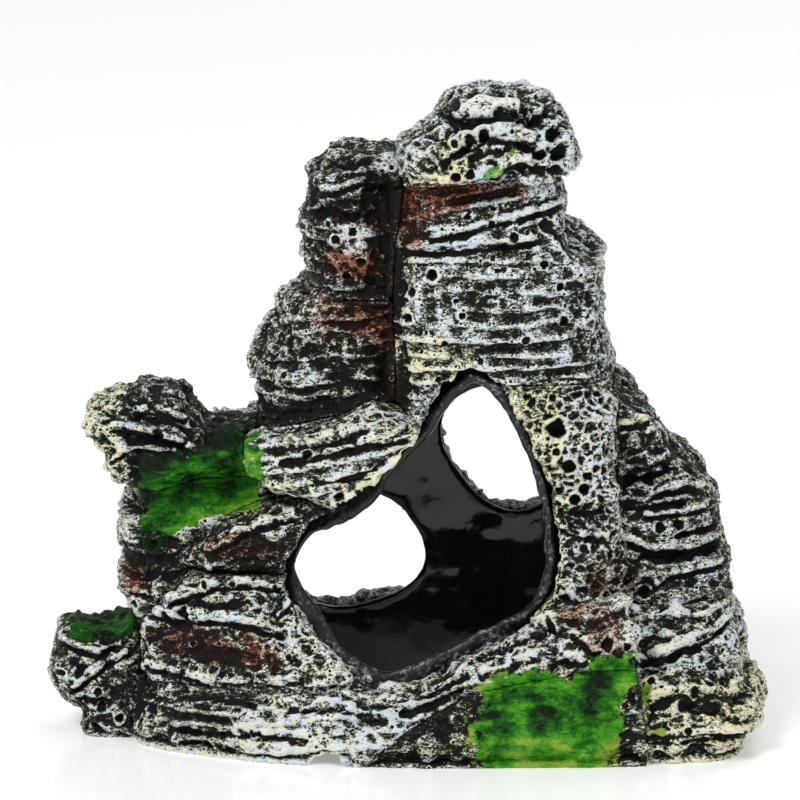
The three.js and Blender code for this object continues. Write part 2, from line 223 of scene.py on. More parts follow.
def ledges(p, n, table):
    """Placed ledges, one for each (width, rise, path): a lip stands out by rise along the path,
    over an undercut as deep. A negative rise sinks a groove and makes no undercut. Two rows:
    height and pale paint."""
    height = np.zeros(len(p))
    paint = np.zeros(len(p))
    worn = np.clip(0.75 + 0.5 * noise(p, 3.0, 12) + 0.4 * noise(p, 1.2, 13), 0.1, 1.2)
    for width, rise, path in table:
        lip = trace(p, n, path, 0.85 * width)
        below = trace(p, n, [(x, z - 1.35 * width) for x, z in path], 0.8 * width)
        below = below * (1 - lip) * (rise > 0)
        height += rise * (lip * (worn if rise > 0 else 1) - 1.2 * below)
        paint += (0.45 * worn if rise > 0 else -0.7) * lip - 0.6 * below
    return np.stack([height, paint])


def strata(p, dip, thickness, seed, lip=0.7, ledge=0.5, wander=0.8):
    """Bedding: height above tilted, waved planes, counted in beds of uneven thickness. Each bed
    juts out at its lower edge, by an amount that changes along it, and falls back towards the
    next; whole beds also stand in or out."""
    waves = 1.1 * noise(p, 14, seed) + 0.7 * noise(p, 5, seed + 1) + 0.25 * noise(p, 1.9, seed + 2)
    level = p[:, 2] - dip * p[:, 0] + wander * waves
    count = level / thickness + 50
    count = count + 0.3 * noise(np.stack([count, 0 * count, 0 * count], 1), 2.2, seed + 3)
    bed = np.floor(count)
    f = count - bed
    own = np.stack([bed, 0 * bed, 0 * bed], 1).astype(np.int64)
    out = scatter(own - [1, 0, 0], seed + 4)
    out = out + (scatter(own, seed + 4) - out) * step(f, 0, 0.16)
    along = np.stack([p[:, 0], p[:, 1], bed * 7.3], 1)
    strong = 0.55 + 0.75 * noise(along, 6, seed + 5) + 0.45 * noise(along, 2.3, seed + 6)
    jut = step(f, 0, 0.14) * (1 - 0.95 * step(f, 0.12, 0.62))
    return ledge * (2 * out - 1) + lip * (jut - 0.3) * np.clip(strong, 0.05, 1.4)


def blob(p, centre, reach, ragged=0.35, seed=3):
    """1 at a centre, falling to 0 at the given reach along each axis, with a ragged edge."""
    frays = noise(p, 3.2, seed) + 0.6 * noise(p, 1.4, seed + 1) + 0.3 * noise(p, 0.7, seed + 2)
    far = np.linalg.norm((p - centre) / reach, axis=1) + ragged * frays
    return 1 - step(far, 0.6, 1.05)


def eased(points, edges, times):
    """Points after each has been moved to the mean of its neighbours, a number of times over."""
    a, b = edges.T
    total = len(points)
    ways = np.bincount(a, minlength=total) + np.bincount(b, minlength=total)
    for _ in range(times):
        points = np.stack(
            [
                (np.bincount(a, points[b, k], total) + np.bincount(b, points[a, k], total)) / ways
                for k in range(3)
            ],
            1,
        )
    return points


def outward(points, quads):
    """Unit normals at the points: the sum of the cross products of the diagonals of the squares
    that meet there."""
    across = points[quads[:, 2]] - points[quads[:, 0]]
    along = points[quads[:, 3]] - points[quads[:, 1]]
    face = np.cross(across, along)
    total = sum(
        np.stack([np.bincount(quads[:, c], face[:, k], len(points)) for k in range(3)], 1)
        for c in range(4)
    )
    return total / np.maximum(np.linalg.norm(total, axis=1), 1e-12)[:, None]


def merged(names, keep_name):
    """One object, in millimetres, of the merged meshes of some CAD nodes."""
    shape = bmesh.new()
    for name in names:
        shape.from_mesh(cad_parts[name].data)
    bmesh.ops.remove_doubles(shape, verts=shape.verts, dist=1e-6)
    bmesh.ops.scale(shape, verts=shape.verts, vec=(1 / MM,) * 3)
    mesh = bpy.data.meshes.new(keep_name)
    shape.to_mesh(mesh)
    shape.free()
    holder = bpy.data.objects.new(keep_name, mesh)
    bpy.context.scene.collection.objects.link(holder)
    return holder


def settled(holder):
    """The points, edges and face corners of an object with its modifiers worked out."""
    mesh = holder.evaluated_get(bpy.context.evaluated_depsgraph_get()).to_mesh()
    points = np.empty(len(mesh.vertices) * 3)
    mesh.vertices.foreach_get("co", points)
    edges = np.empty(len(mesh.edges) * 2, int)
    mesh.edges.foreach_get("vertices", edges)
    corners = np.empty(len(mesh.loops), int)
    mesh.loops.foreach_get("vertex_index", corners)
    holder.to_mesh_clear()
    return points.reshape(-1, 3), edges.reshape(-1, 2), corners


def nearest(points, target):
    """For each point, its distance to the target's surface and the direction towards it."""
    cloud = bpy.data.meshes.new("cloud")
    cloud.vertices.add(len(points))
    cloud.vertices.foreach_set("co", points.ravel())
    holder = bpy.data.objects.new("cloud", cloud)
    bpy.context.scene.collection.objects.link(holder)
    wrap = holder.modifiers.new("wrap", "SHRINKWRAP")
    wrap.target = target
    wrap.wrap_method = "NEAREST_SURFACEPOINT"
    way = settled(holder)[0] - points
    bpy.data.objects.remove(holder)
    far = np.linalg.norm(way, axis=1)
    return far, way / np.maximum(far, 1e-9)[:, None]


def dots(a, b):
    """The dot product of each pair of rows."""
    return np.einsum("ij,ij->i", a, b)


def held_back(move, way, most):
    """A move with its part in the direction way cut down to most."""
    towards = dots(move, way)
    return move - way * np.maximum(towards - most, 0)[:, None]


def written(name, points, quads, marks, material, node):
    """A finished piece: its mesh in metres with one value of each mark at every point."""
    mesh = bpy.data.meshes.new(name)
    mesh.from_pydata((points * MM).tolist(), [], quads.tolist())
    for mark, values in marks.items():
        layer = mesh.attributes.new(mark, "FLOAT", "POINT")
        layer.data.foreach_set("value", np.broadcast_to(values, len(points)).astype(np.float32))
    mesh.polygons.foreach_set("use_smooth", np.ones(len(quads), bool))
    mesh.materials.append(material)
    piece = bpy.data.objects.new(name, mesh)
    bpy.context.scene.collection.objects.link(piece)
    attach(piece, "root")
    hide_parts(node)
    return piece


NET_SIZE = 0.3
FINE_NET_SIZE = 0.26
SURFACE_EASING, NORMAL_EASING = 3, 6
FINE_EASING, BROAD_EASING = 5, 32
SEAM_SHARE, SEAM_PUSH, SEAM_REACH = 0.46, 0.2, 2.0
SKIN_GAP, SKIN_PULL = 0.2, 0.1
rock_nodes = [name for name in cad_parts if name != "cave_liner"]
skin = merged(["cave_liner"], "skin_in_mm")


def rock(node, shaped, material, net_size=NET_SIZE):
    """A rock: the CAD solid as an even net of squares, moved along its normals by the height that
    shaped(points, normals) gives along with the marks for its paint. It stops short of halfway to
    its neighbours and of the cave's skin, and its foot stays flat on the table. Prominence is how
    far a point stands above the eased surface, less near a seam, and guides the brush."""
    holder = merged([node], node + "_in_mm")
    remesh = holder.modifiers.new("net", "REMESH")
    remesh.mode = "VOXEL"
    remesh.voxel_size = net_size
    points, edges, corners = settled(holder)
    quads = corners.reshape(-1, 4)
    points = eased(points, edges, SURFACE_EASING)
    normals = outward(eased(points, edges, NORMAL_EASING), quads)
    height, marks = shaped(points, normals)
    height *= 1 - step(-normals[:, 2], 0.5, 0.9) * (1 - step(points[:, 2], 0.2, 1.5))
    others = merged([name for name in rock_nodes if name != node], "others")
    seam, way = nearest(points, others)
    joined = np.clip(dots(normals, way), 0, 1) * (1 - step(seam, 0.5, 3.0))
    height = np.where(height < 0, height * (1 - joined), height) + SEAM_PUSH * joined
    move = held_back(height[:, None] * normals, way, SEAM_SHARE * seam)
    far, way = nearest(points, skin)
    move = held_back(move, way, np.maximum(far - SKIN_GAP, -SKIN_PULL))
    bpy.data.objects.remove(others)
    bpy.data.objects.remove(holder)
    moved = points + move
    moved[:, 2] = np.maximum(moved[:, 2], 0)
    soft = eased(moved, edges, FINE_EASING)
    softer = eased(soft, edges, BROAD_EASING)
    fine = dots(moved - soft, normals)
    broad = dots(moved - softer, normals)
    clear = step(seam, 0.3, SEAM_REACH)
    stands = 0.5 + 1.7 * fine + 0.8 * broad * clear - 0.15 * (1 - clear)
    marks["prominence"] = np.clip(stands, 0, 1)
    return written(node + "_cast", moved, quads, marks, material, node)


class Recipe:
    """A material's node tree, with short ways to add and join its nodes."""

    def __init__(self, name):
        self.material = bpy.data.materials.new(name)
        self.material.use_nodes = True
        self.nodes = self.material.node_tree.nodes
        self.shader = self.nodes["Principled BSDF"]

    def put(self, socket, value):
        """A number, a colour or another node's output into a socket."""
        if isinstance(value, bpy.types.NodeSocket):
            self.material.node_tree.links.new(value, socket)
        else:
            socket.default_value = value

    def place(self, stretch=(1, 1, 1)):
        """Object coordinates in millimetres, each divided by its stretch."""
        scale = self.nodes.new("ShaderNodeVectorMath")
        scale.operation = "MULTIPLY"
        self.put(scale.inputs[0], self.nodes.new("ShaderNodeTexCoord").outputs["Object"])
        self.put(scale.inputs[1], tuple(1 / MM / s for s in stretch))
        return scale.outputs[0]

    def mark(self, name):
        """A mark that the mesh carries."""
        node = self.nodes.new("ShaderNodeAttribute")
        node.attribute_name = name
        return node.outputs["Fac"]

    def noise(self, place, size, detail=3, roughness=0.55):
        """Smooth noise about 0.5, with lumps of the given size in millimetres."""
        node = self.nodes.new("ShaderNodeTexNoise")
        self.put(node.inputs["Vector"], place)
        self.put(node.inputs["Scale"], 1 / size)
        self.put(node.inputs["Detail"], detail)
        self.put(node.inputs["Roughness"], roughness)
        return node.outputs["Fac"]

    def cells(self, place, size):
        """0 at scattered points about size apart, rising to about 0.8 between them, and a colour
        of each point's own."""
        node = self.nodes.new("ShaderNodeTexVoronoi")
        self.put(node.inputs["Vector"], place)
        self.put(node.inputs["Scale"], 1 / size)
        return node.outputs["Distance"], node.outputs["Color"]

    def maths(self, operation, a, b=0.0, c=0.0):
        node = self.nodes.new("ShaderNodeMath")
        node.operation = operation
        for socket, value in zip(node.inputs, (a, b, c)):
            self.put(socket, value)
        return node.outputs[0]

    def times(self, a, b):
        return self.maths("MULTIPLY", a, b)

    def swing(self, value, middle, strength):
        """How far a value is from its middle, times a strength."""
        return self.maths("MULTIPLY_ADD", value, strength, -middle * strength)

    def total(self, *values):
        whole = values[0]
        for value in values[1:]:
            whole = self.maths("ADD", whole, value)
        return whole

    def rise(self, value, start, stop, low=0.0, high=1.0):
        """Low before start and high after stop, with a smooth rise between."""
        node = self.nodes.new("ShaderNodeMapRange")
        node.interpolation_type = "SMOOTHSTEP"
        self.put(node.inputs["Value"], value)
        self.put(node.inputs["From Min"], start)
        self.put(node.inputs["From Max"], stop)
        self.put(node.inputs["To Min"], low)
        self.put(node.inputs["To Max"], high)
        return node.outputs[0]

    def over(self, share, below, above):
        """One colour laid over another by a share."""
        node = self.nodes.new("ShaderNodeMix")
        node.data_type = "RGBA"
        self.put(node.inputs[0], share)
        for socket, value in ((node.inputs[6], below), (node.inputs[7], above)):
            self.put(socket, value if isinstance(value, bpy.types.NodeSocket) else (*value, 1))
        return node.outputs[2]

    def bump(self, height, depth, strength):
        """Fine relief, up to depth in millimetres, that only bends the light."""
        node = self.nodes.new("ShaderNodeBump")
        self.put(node.inputs["Height"], height)
        self.put(node.inputs["Distance"], depth * MM)
        self.put(node.inputs["Strength"], strength)
        self.put(self.shader.inputs["Normal"], node.outputs[0])


BLACK_RESIN = (0.002, 0.0022, 0.0025)
GREY_RESIN = (0.013, 0.014, 0.014)
RUSTY_RESIN = (0.013, 0.0055, 0.003)
DARK_OLIVE = (0.055, 0.068, 0.036)
OLIVE = (0.14, 0.16, 0.095)
DEEP_RUST = (0.16, 0.04, 0.014)
BRIGHT_RUST = (0.31, 0.10, 0.045)
WHITE = (0.86, 0.89, 0.84)
BLUE_WHITE = (0.74, 0.84, 0.93)
CREAM = (0.93, 0.87, 0.58)
THIN_PAINT = (0.22, 0.25, 0.18)
MOSS_SHADE = (0.002, 0.012, 0.001)
MOSS_GREEN = (0.009, 0.115, 0.003)
MOSS_LIGHT = (0.06, 0.30, 0.010)
MOSS_YELLOW = (0.28, 0.42, 0.05)
BRUSH_STRETCH = (1.35, 1.1, 0.85)
STREAK_STRETCH = (2.4, 1, 0.8)
PATCH_SIZE, GRAIN_SIZE, SPECK_SIZE, BUBBLE_SPACING = 4.0, 0.5, 0.2, 1.15
SEALER_IOR = 1.24


def painted_resin(name):
    """Charcoal resin with a sealer's low gloss. Olive, then white or cream paint is dragged over
    what stands out, and the grain of the cast breaks it into specks and a lace round small
    bubbles. Rust is washed into the hollows, and moss paint lies over both, smooth and glossy."""
    r = Recipe(name)
    at = r.place()
    drawn = r.place(BRUSH_STRETCH)
    patches = r.noise(at, PATCH_SIZE, 4)
    grain = r.noise(drawn, GRAIN_SIZE, 4, 0.7)
    specks = r.noise(drawn, SPECK_SIZE, 2, 0.6)
    lace, _ = r.cells(drawn, GRAIN_SIZE)
    far, own = r.cells(at, BUBBLE_SPACING)
    far = r.total(far, r.swing(specks, 0.5, 0.25), r.swing(own, 0.5, -0.34))
    bubble = r.rise(far, 0.1, 0.17)
    ring = r.times(bubble, r.rise(far, 0.19, 0.33, 1.0, 0.0))
    height = r.swing(r.mark("prominence"), 0.5, 1.35)
    broken = r.total(r.swing(grain, 0.5, 2.2), r.swing(specks, 0.5, 3.0), r.swing(lace, 0.46, 1.1))
    bubbled = r.total(r.times(ring, 0.5), r.swing(bubble, 1.0, 1.1))
    load = r.total(height, broken, bubbled, r.swing(patches, 0.5, 1.1), r.mark("brushed"))
    rust_grain = r.noise(at, 0.45, 3, 0.7)
    rust = r.rise(r.total(r.mark("rust"), r.swing(rust_grain, 0.5, 3.0)), 0.25, 0.95)
    dark = r.over(r.rise(specks, 0.4, 0.65), BLACK_RESIN, GREY_RESIN)
    dark = r.over(rust, dark, RUSTY_RESIN)
    middle = r.over(r.rise(grain, 0.4, 0.6), DARK_OLIVE, OLIVE)
    middle = r.over(rust, middle, DEEP_RUST)
    warmth = r.rise(r.total(r.mark("warmth"), r.swing(r.noise(at, 1.1, 3), 0.5, 2.4)), 0.2, 0.95)
    pale = r.over(r.rise(patches, 0.4, 0.6), WHITE, BLUE_WHITE)
    pale = r.over(warmth, pale, CREAM)
    pale = r.over(r.rise(load, 0.4, 0.95), r.over(0.45, pale, THIN_PAINT), pale)
    pale = r.over(rust, pale, BRIGHT_RUST)
    colour = r.over(r.rise(load, -0.2, 0.22), dark, middle)
    colour = r.over(r.rise(load, 0.2, 0.55), colour, pale)
    streaks = r.noise(r.place(STREAK_STRETCH), 1.5, 4, 0.65)
    light = r.total(r.mark("moss_light"), r.swing(streaks, 0.5, 2.0), r.swing(grain, 0.5, 1.3))
    leaf = r.over(r.rise(light, 0.0, 0.55), MOSS_SHADE, MOSS_GREEN)
    leaf = r.over(r.rise(light, 0.5, 1.0), leaf, MOSS_LIGHT)
    leaf = r.over(r.rise(light, 1.0, 1.45), leaf, MOSS_YELLOW)
    moss = r.total(r.mark("moss"), r.swing(patches, 0.5, 0.6), r.swing(grain, 0.5, 1.2))
    moss = r.times(r.rise(moss, 0.35, 0.6), r.rise(load, 0.9, 1.4, 1.0, 0.6))
    colour = r.over(moss, colour, leaf)
    r.put(r.shader.inputs["Base Color"], colour)
    shine = r.rise(load, -0.1, 0.5, 0.5, 0.75)
    r.put(r.shader.inputs["Roughness"], r.times(shine, r.rise(moss, 0, 1, 1.0, 0.5)))
    r.shader.inputs["IOR"].default_value = SEALER_IOR
    fine = r.total(r.times(specks, 0.5), r.times(lace, 0.45), r.times(bubble, 0.6))
    r.bump(r.total(grain, fine), 0.4, 0.8)
    return r.material


def marks(rust=0.0, moss=0.0, warmth=0.3, brushed=0.0, moss_light=0.3):
    """The marks that the painted resin reads, each one number or one value for every point."""
    return dict(rust=rust, moss=moss, warmth=warmth, brushed=brushed, moss_light=moss_light)


CROWN_RINGS = [
    (7.1, 95.0, 0.85), (9.2, 95.8, 1.2), (11.5, 96.5, 1.2), (7.3, 89.9, 1.0),
    (9.4, 90.4, 0.95),
]
CROWN_PITS = [
    (15.6, 96.7, 0.4), (13.2, 101.5, 0.4), (15.8, 101.8, 0.8), (17.8, 100.4, 1.1),
    (19.6, 98.6, 1.2), (21.8, 99.2, 1.5), (22.0, 96.0, 1.6), (23.4, 93.4, 1.5),
    (20.4, 93.4, 0.9), (22.6, 90.4, 1.3),
]
CROWN_LEDGES = [
    (1.25, 0.8, [(1.5, 89.3), (7.5, 89.6), (12.5, 91.0), (16.5, 93.2), (21, 92.4)]),
    (1.3, 0.8, [(5.6, 94.0), (8.5, 96.0), (11.6, 97.3), (15.5, 96.9), (19.0, 95.8), (20.6, 94.4)]),
    (1.2, -0.9, [(9.8, 92.9), (14, 93.9), (16.6, 94.6)]),
    (1.4, -1.4, [(6.5, 98.0), (10, 98.7), (14, 99.2), (17.5, 98.9), (20, 98.2)]),
    (0.9, -0.8, [(4.5, 98.5), (7.5, 100.2)]),
]
CROWN_FLECKS = [(11.5, 89.8), (14, 91.6), (16.4, 94.6)]


def crown_shape(p, n):
    cap = blob(p - p[:, :1] * (0, 0, 0.12), (12.5, -13, 99.4), (5.2, 6, 1.6), 0.45)
    lobes = blob(p, (21, -14, 97), (6.5, 12, 5.5), 0.3)
    lace = blob(p, (5.5, -15, 92.6), (5.5, 9, 3.2), 0.3)
    height, paint = (ledges(p, n, CROWN_LEDGES) + holes(p, n, CROWN_RINGS, 0.4)
                     + holes(p, n, CROWN_PITS))
    fine_height, fine_paint = pits(p, 1.7, 16, 0.6, 0.42) * (0.4 + 0.6 * lace)
    height += crag(p) + crackle(p, 2.4, 14, 0.7, 1.2) * (1 - cap) + 0.8 * cap + fine_height
    height += 0.9 * crackle(p, 3.0, 17, 0.9, 1.0) * lobes
    paint += 0.6 * cap - 0.12 * lobes - 0.1 * lace - 0.08 + fine_paint
    cream = blob(p, (5, -15, 89.6), (6, 9, 2.2)) + 0.5 * blob(p, (8, -15, 95), (5, 9, 3))
    cream += 0.5 * lace
    fleck = trace(p, n, CROWN_FLECKS, 0.9) * step(noise(p, 1.5, 15), -0.2, 0.2)
    return height, marks(moss=fleck, moss_light=1.1, warmth=0.25 + 0.6 * cream, brushed=paint)


rock_paint = painted_resin("painted_rock")
rock("crown", crown_shape, rock_paint, net_size=FINE_NET_SIZE)

# ---- Main spire --------------------------------------------------------------
# The body of the tall peak, one casting with thin beds whose lips rise a little to the right, and
# blowholes between them. A rust wash runs under the crown, and its foot is creamy.

SPIRE_PITS = [
    (3.4, 74.4, 1.05), (0.5, 71.4, 0.95), (8.3, 68.3, 0.7), (13.6, 75.3, 0.6),
    (16.2, 80.3, 1.0), (12.7, 82.3, 0.7), (9.0, 83.4, 0.6), (13.0, 84.6, 0.6),
    (23.4, 72.6, 0.8), (24, 67.4, 1.0), (20.8, 76.2, 0.7), (18, 64.5, 0.8), (5.5, 63.8, 0.8),
    (-0.2, 67.4, 0.9), (11, 61, 0.7),
]
SPIRE_LEDGES = [
    (0.85, 0.6, [(3.5, 80.6), (9, 81.9), (16, 83.8), (23, 85.2)]),
    (0.8, 0.5, [(0.5, 78.6), (7, 78.9), (13, 79.6), (19, 80.4)]),
    (1.1, -1.0, [(21, 82), (23, 79.2), (26, 77.4)]),
]


def spire_shape(p, n):
    dip = 0.05 + 0.14 * step(p[:, 2], 75, 86)
    foot = blob(p, (4, -16, 60), (8, 8, 5))
    lumpy = step(p[:, 0] + 0.3 * p[:, 2], 41, 47)
    corner = blob(p, (28, -6, 79), (5, 14, 5), 0.2)
    height, paint = (ledges(p, n, SPIRE_LEDGES) + pits(p, 2.2, 24, 0.4, 0.5)
                     + holes(p, n, SPIRE_PITS, 0.2))
    height += 0.8 * crag(p) + strata(p, dip, 2.35, 23, 0.85, 0.3, 0.75) * (1 - 0.6 * lumpy)
    height += 0.6 * crackle(p, 2.2, 26, 0.9) * lumpy - 1.6 * corner
    rust = 0.85 * blob(p, (5, -15, 86.2), (8, 9, 3.2))
    rust += 0.5 * blob(p, (14, -15, 87.6), (9, 8, 1.8), 0.6)
    rust += 0.7 * blob(p, (0, -12, 83), (3.6, 8, 5), 0.5)
    edge = 1 - step(p[:, 0] + 1.8 * noise(p, 3, 27) + 0.9 * noise(p, 1.2, 28), -2.2, -0.8)
    rust = np.maximum(rust, 0.45 * edge)
    paint += 0.3 * foot - 0.3 * np.clip(rust, 0, 1) - 0.8 * edge - 0.12 * lumpy
    warmth = 0.12 + 0.55 * foot + 0.35 * (1 - step(p[:, 0], 0, 4))
    return height, marks(rust=rust, warmth=warmth, brushed=paint)


rock("main_spire", spire_shape, rock_paint)

# ---- Low peak: left spire and left flank -------------------------------------
# Two castings bonded against the left of the tall peak. A deep crevice parts them from it, with
# rust run down inside. The upper one carries a knob with pits on its face.

KNOB_PITS = [
    (-8.4, 80.8, 0.75), (-11, 79.5, 0.9), (-10.3, 77.4, 0.4), (-7.2, 75.9, 0.9),
    (-9.5, 73.4, 0.85),
]
LOW_PEAK_LEDGES = [
    (0.7, 0.5, [(-13.5, 87.0), (-10.5, 87.4), (-7, 88.9), (-4.5, 89.2)]),
    (0.9, -0.7, [(-10, 90.6), (-6.2, 90.9)]),
    (1.1, -1.5, [(-15, 83.2), (-12, 83.6), (-7.5, 82.9)]),
]


def low_peak_shape(p, n):
    knob = blob(p, (-8.6, -12, 77.8), (4.4, 8, 5.0), 0.15)
    hollow = blob(p, (-4.2, -12, 85.8), (3.8, 8, 4.4), 0.2)
    ragged = 2.2 * noise(p, 4, 36) + 1.2 * noise(p, 1.7, 37)
    crevice = step(p[:, 0] + ragged, -8.5, -3.6) * (1 - step(p[:, 2], 87, 90))
    recess = blob(p, (-9, -12, 84.2), (6, 9, 2.6), 0.5)
    saddle = blob(p, (-2.6, -8, 91.2), (2.6, 6, 1.8), 0.2)
    outer = 1 - step(p[:, 0], -17, -12)
    height, paint = (ledges(p, n, LOW_PEAK_LEDGES) + pits(p, 2.5, 35, 0.4, 0.6)
                     + holes(p, n, KNOB_PITS))
    beds = 0.8 * strata(p, 0.05, 2.1, 33, 0.7, 0.4) * (1 - knob)
    height += crag(p) + beds + crackle(p, 2.3, 34, 0.5)
    height += 1.3 * knob - 2.2 * hollow - 1.0 * crevice - 0.6 * outer
    dark = np.clip(hollow + crevice + recess, 0, 1)
    rust = 0.5 * dark + 0.6 * blob(p, (-9, -12, 75), (6, 8, 4)) + 0.3 * knob
    paint += -0.42 - 0.55 * dark + 0.5 * knob + 0.8 * saddle
    return height, marks(rust=rust, warmth=0.3, brushed=paint)


def flank_shape(p, n):
    crevice = step(p[:, 0] + 2.6 * noise(p, 4, 46) + 1.3 * noise(p, 1.7, 48), -10.5, -4.0)
    # foot: where the flank meets the slab it is sunk, and its paint is thinned as painted shade for
    # the dark band there
    foot = 1 - step(p[:, 2] + noise(p, 3, 47), 52.2, 54.6)
    bumps = blob(p, (-4.5, -11, 64.5), (2.6, 5, 3.4), 0.2)
    outer = blob(p, (-23, -4, 65), (5, 14, 8), 0.2)
    height, paint = pits(p, 2.4, 45, 0.4, 0.55)
    height += crag(p) + strata(p, 0.03, 1.9, 43, 0.75, 0.35, 0.7) + 0.5 * crackle(p, 2.0, 44, 0.6)
    height += -0.8 * crevice - 0.8 * foot + 1.2 * bumps - 1.6 * outer
    rust = 0.55 * crevice + 0.6 * blob(p, (-9, -12, 69), (7, 8, 6)) + 0.4 * bumps
    paint += -0.3 - 0.5 * crevice - 0.6 * foot + 0.15 * bumps
    return height, marks(rust=rust, warmth=0.4, brushed=paint)


rock("left_spire", low_peak_shape, rock_paint, net_size=FINE_NET_SIZE)
rock("left_flank", flank_shape, rock_paint)

# ---- Arch slab and left arm --------------------------------------------------
# The slab slants up over the mouth, pale and finely pitted, with a cream edge along the mouth. The
# arm beyond it is a darker, log-like limb with smooth hollows between white ridges.

SLAB_LEDGES = [
    (1.1, 0.5, [(-24, 48.6), (-18, 49.4), (-12, 50.2), (-7, 52)]),
    (1.2, 0.5, [(-11.5, 39.0), (-7, 41.5), (-4, 44.6), (0, 47.3), (2.6, 49.6)]),
    (0.8, -0.7, [(-19, 45.5), (-12, 46.8), (-6, 48.2), (0, 49.2)]),
    (0.7, -0.6, [(-14, 42.4), (-9, 43.2), (-5, 44.9)]),
]
SLAB_PITS = [(-10.6, 39.6, 1.3), (-7.6, 41.2, 0.6), (-15.5, 47.2, 0.9)]
ARM_LEDGES = [
    (0.8, 0.7, [(-45.2, 50.6), (-42, 50.3), (-38.8, 49.6), (-35, 48.2), (-32.6, 46.4)]),
    (0.6, 0.5, [(-46.2, 44.4), (-43.4, 46.8), (-40, 47.1), (-36, 46.5), (-33, 45.2)]),
    (0.6, 0.4, [(-42, 53.4), (-38, 53.0), (-34, 51.6)]),
    (1.1, -1.1, [(-42.8, 48.0), (-38, 47.8), (-35, 47.0)]),
    (1.1, -0.8, [(-41, 51.8), (-37, 51.2), (-33, 49.2)]),
]
ARM_PITS = [(-43.4, 49.9, 0.5), (-38.4, 49.2, 1.1), (-32.8, 50.4, 0.7)]


MOSS_RUN = np.array([[0.7, 0, -0.5], [0, 1, 0], [0.3, 0, 1.2]])


def left_moss(p):
    """Where moss paint fills the hollow under the arm: between a floor and a roof that both climb
    to the right, with ragged edges. Runs of it are lighter, it yellows to the right and it is
    lighter along the floor. Just under the roof, where the arm overhangs, it is darkened as painted
    shade."""
    ragged = 0.9 * noise(p, 3.2, 67) + 0.6 * noise(p, 1.4, 68) + 0.3 * noise(p, 0.7, 69)
    x, z = p[:, 0], p[:, 2] + ragged
    floor = 31.6 + 0.32 * (x + 40)
    roof = 46.2 + 0.2 * (x + 38)
    across = step(x + ragged, -42.4, -40.6) * (1 - step(x + 1.5 * ragged, -23.6, -21.4))
    between = step(z - floor, -0.6, 0.8) * (1 - step(z - roof, -1.2, 0.8))
    moss = between * across * (1 - step(p[:, 1], -1, 2))
    run = p @ MOSS_RUN
    light = 0.38 + 0.45 * noise(run, 4.0, 70) + 0.3 * noise(run, 1.8, 71)
    # painted shade: the moss is darkened just under the arm's overhang
    light -= 0.75 * step(z - 0.25 * x, 51.5, 55)
    light += 0.55 * step(x + ragged, -29, -23.5) + 0.4 * (1 - step(z - floor, 0.3, 2.2))
    return moss, light


def slab_shape(p, n):
    rim = blob(p, (1.5, -18, 47), (5.5, 8, 4.5)) + blob(p, (-6, -18, 42), (6, 8, 3))
    moss, light = left_moss(p)
    height, paint = (ledges(p, n, SLAB_LEDGES) + pits(p, 1.9, 55, 0.55, 0.42)
                     + holes(p, n, SLAB_PITS))
    height += 0.7 * crag(p) + crackle(p, 1.7, 54, 0.5, 1.7) + strata(p, 0.22, 2.2, 53, 0.4, 0.25)
    paint += 0.06 + 0.2 * np.clip(rim, 0, 1)
    warmth = 0.45 + 0.35 * rim
    return height, marks(warmth=warmth, brushed=paint, moss=moss, moss_light=light + 0.25)


def arm_shape(p, n):
    end = 1 - step(p[:, 0] + noise(p, 3, 66), -45, -43)
    inner = step(p[:, 0] - 0.4 * p[:, 2] + 1.5 * noise(p, 4, 66), -52.5, -48)
    moss, light = left_moss(p)
    under = blob(p, (-48, -6, 45.5), (5, 14, 4), 0.25)
    height, paint = ledges(p, n, ARM_LEDGES) + pits(p, 2.6, 65, 0.35, 0.65) + holes(p, n, ARM_PITS)
    height += 1.2 * crag(p) + 0.5 * strata(p, -0.45, 2.4, 63, 0.6, 0.5) + crackle(p, 2.4, 64, 0.6)
    height = height * (1 - 0.5 * moss) - 1.2 * under
    moss = np.maximum(moss, 0.8 * inner * (1 - step(p[:, 2], 47, 50)))
    paint += -0.56 + 0.6 * end - 0.25 * inner
    return height, marks(warmth=0.35 + 0.35 * end, brushed=paint, moss=moss, moss_light=light)


rock("arch_slab", slab_shape, rock_paint, net_size=FINE_NET_SIZE)
rock("left_arm", arm_shape, rock_paint, net_size=FINE_NET_SIZE)

# ---- Left wall, jamb and step ------------------------------------------------
# The left side wall holds moss in its hollow, above a band of painted shade with some rust. Right
# of it stand the jamb of the mouth and the stepped block below, washed with rust between white
# ledges.

JAMB_LEDGES = [(0.9, 0.5, [(-31, 31.5), (-27, 34.2), (-23, 36.2), (-18, 37.8)])]
STEP_LEDGES = [
    (0.8, 0.6, [(-36.6, 23.6), (-33.4, 25.6), (-29.5, 27.0), (-24.5, 27.2), (-19.5, 26.8)]),
    (0.8, 0.6,
     [(-41.5, 21.9), (-37.2, 20.9), (-33, 21.2), (-28, 21.9), (-23.5, 21.2), (-19.5, 19.9)]),
    (0.9, -0.7, [(-36.5, 23.0), (-31, 23.2), (-25, 24.0)]),
    (0.9, 0.5, [(-40, 13.4), (-34, 12.6), (-29, 11.8), (-24, 12.6), (-17, 13.2)]),
    (0.6, 0.4, [(-20, 22.4), (-17.6, 24.6), (-14.6, 24.8), (-12.6, 22.4)]),
]
STEP_PITS = [
    (-37.5, 21.0, 0.9), (-36.6, 22.6, 0.6), (-34.9, 21.5, 1.35), (-15.2, 20.2, 1.5),
    (-16.2, 23.2, 0.8), (-24.5, 10.8, 0.5), (-31.3, 26.4, 0.55), (-27.0, 26.6, 0.6),
]
JAMB_PITS = [(-14.6, 35.7, 1.25), (-20.4, 36.4, 0.5)]
WALL_LEDGES = [(0.6, 0.5, [(-45.5, 23.8), (-41, 24.0), (-37.6, 22.9), (-35, 23.6)])]


